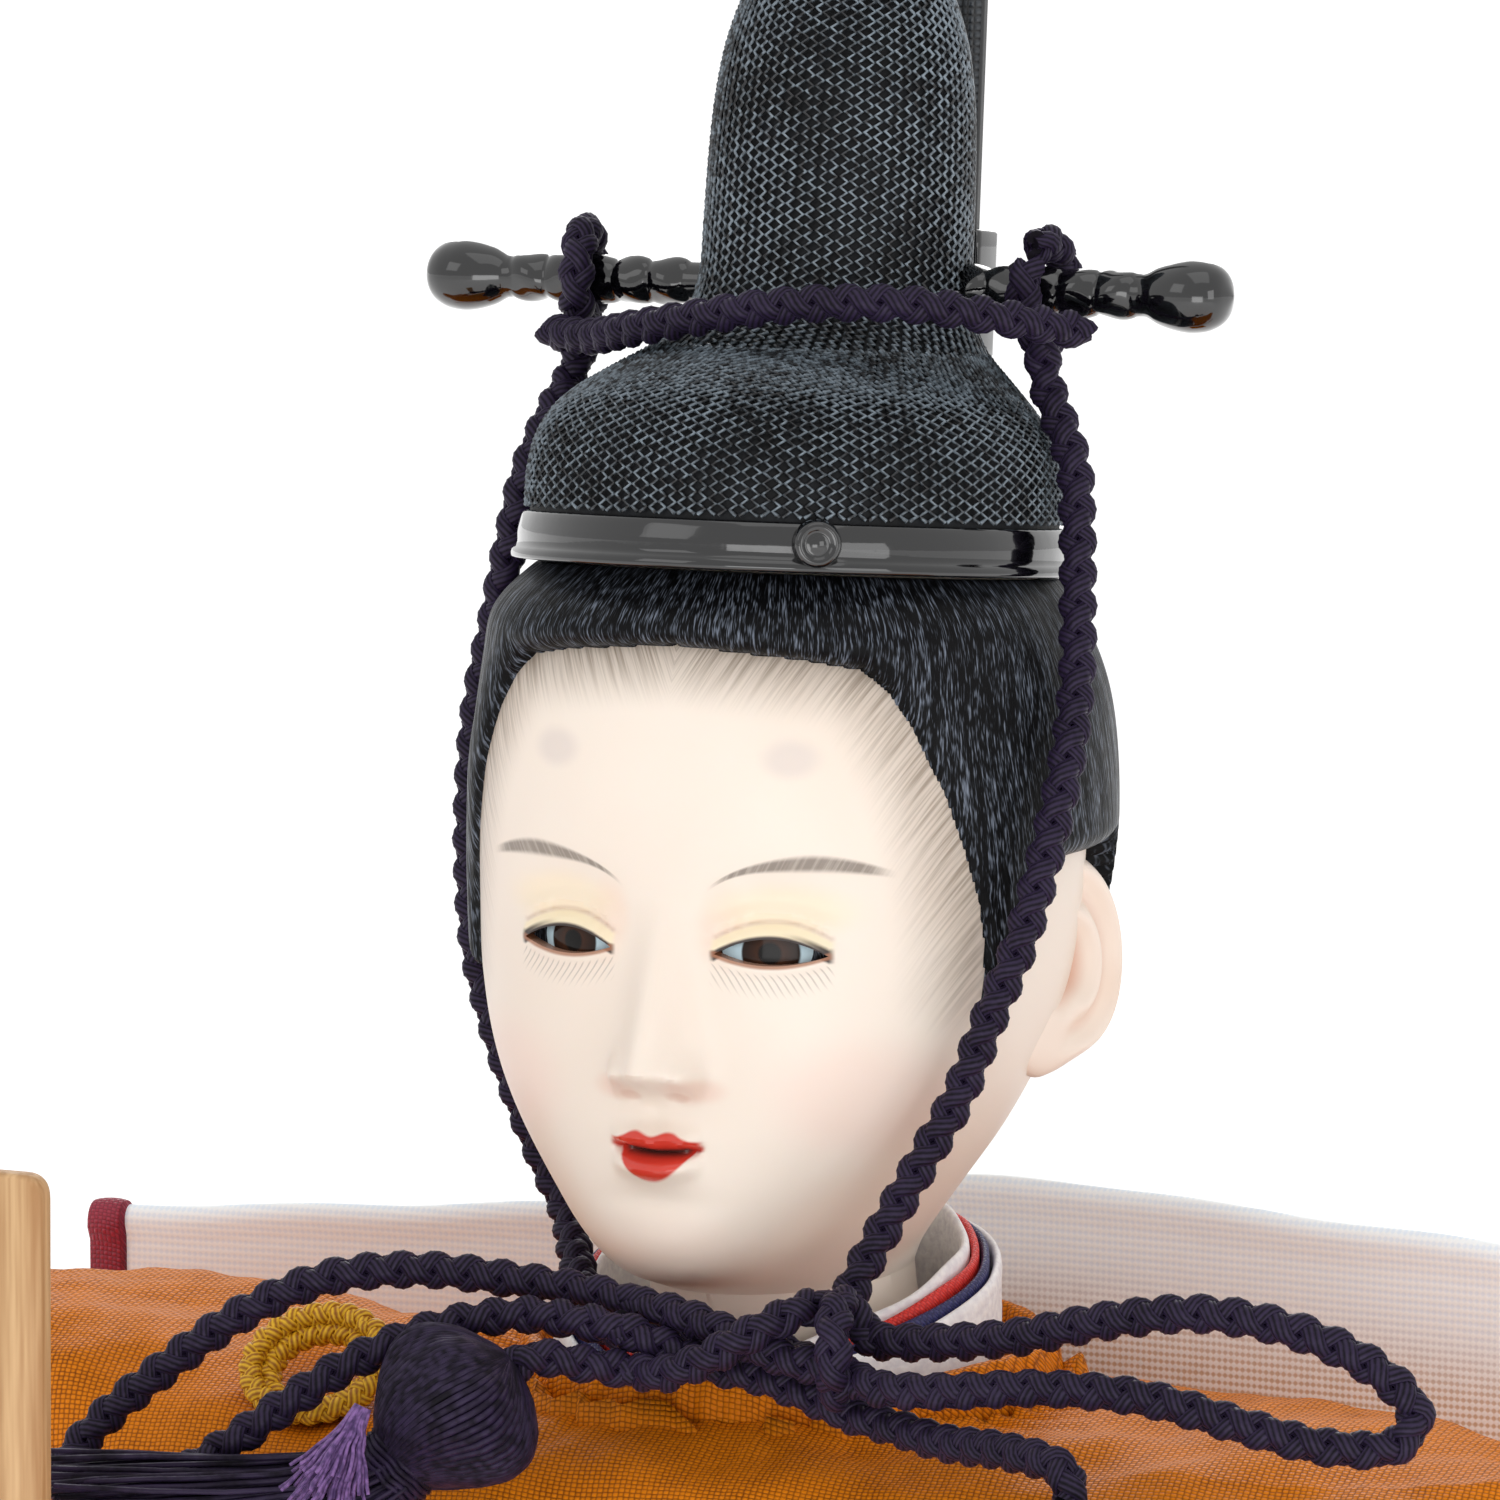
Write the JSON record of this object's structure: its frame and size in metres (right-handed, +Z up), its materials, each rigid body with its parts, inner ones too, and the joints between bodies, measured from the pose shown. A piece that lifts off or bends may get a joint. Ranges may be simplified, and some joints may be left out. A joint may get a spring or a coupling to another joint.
{
  "type": "hina doll",
  "caption": "Seated court-dress festival doll with a white moulded face, a tall black net hat tied on by a braided cord, padded orange silk robes and a flat wooden baton.",
  "frame": {"origin": "on the floor under the middle of the seat board, on the axis of the neck peg", "axes": "+Z up, the doll faces -Y, its left hand is on the +X side"},
  "size_m": [0.3038, 0.2126, 0.2951],
  "materials": {
    "shell": "moulded shell under a fine matt white coat, faintly glossy",
    "eye_glass": "polished dark glass",
    "hair_silk": "combed silk thread, satin",
    "black_lacquer": "black lacquer, high gloss",
    "hat_net": "stiffened black net, satin",
    "purple_cord": "braided silk cord, purple-black",
    "tuft_silk": "loose silk thread, purple",
    "white_silk": "woven white silk, matt",
    "red_silk": "folded red silk",
    "navy_silk": "folded dark purple silk",
    "orange_silk": "woven orange-gold silk with a fine rib",
    "dark_red_silk": "folded dark red silk",
    "gold_cord": "braided gold cord",
    "plain_wood": "bare planed wood",
    "straw": "bundled rice straw"
  },
  "bodies": {
    "body": {"hand_left": "shell", "hand_right": "shell", "collar_white_inner": "white_silk", "collar_white_outer": "white_silk", "under_robe": "white_silk", "back_sheet": "white_silk", "trouser_left": "white_silk", "trouser_right": "white_silk", "sock_left": "white_silk", "sock_right": "white_silk", "collar_red_piping": "red_silk", "collar_purple_piping": "navy_silk", "robe_front": "orange_silk", "robe_back": "orange_silk", "robe_collar": "orange_silk", "robe_skirt": "orange_silk", "skirt_band": "orange_silk", "sleeve_left": "orange_silk", "sleeve_right": "orange_silk", "back_binding_left": "dark_red_silk", "back_binding_right": "dark_red_silk", "train": "dark_red_silk", "button_loop": "gold_cord", "seat_board": "plain_wood", "straw_core": "straw", "arm_core_left": "straw", "arm_core_right": "straw"},
    "neck_peg": {"neck_peg": "plain_wood"},
    "head": {"head_shell": "shell", "eye_left": "eye_glass", "eye_right": "eye_glass", "hair_front": "hair_silk", "hair_back": "hair_silk", "topknot": "hair_silk", "hat_rim": "black_lacquer", "hat_crown": "hat_net", "hat_pin": "black_lacquer", "hat_pocket": "black_lacquer", "pin_loop_left": "purple_cord", "pin_loop_right": "purple_cord", "crown_cord": "purple_cord", "cheek_cord_left": "purple_cord", "cheek_cord_right": "purple_cord", "chin_knot": "purple_cord", "bow_loop_left": "purple_cord", "bow_loop_right": "purple_cord", "cord_tail_left": "purple_cord", "cord_tail_right": "purple_cord", "tassel_left": "purple_cord", "tassel_right": "purple_cord", "tassel_tuft": "tuft_silk"},
    "hat_tail": {"hat_tail": "hat_net"},
    "shaku": {"shaku": "plain_wood"}
  },
  "joints": [
    {"name": "head_lift", "type": "slide", "parent": "body", "child": "neck_peg", "axis": [0, 0, 1], "range_m": [0, 0.045]},
    {"name": "head_turn", "type": "hinge", "parent": "neck_peg", "child": "head", "pos_m": [0, 0, 0.145], "axis": [0, 0, 1], "range_deg": [-10, 10]},
    {"name": "tail_lift", "type": "slide", "parent": "head", "child": "hat_tail", "axis": [0, 0.0872, 0.9962], "range_m": [0, 0.012]},
    {"name": "shaku_lift", "type": "slide", "parent": "body", "child": "shaku", "axis": [0, 0, 1], "range_m": [0, 0.03]}
  ]
}
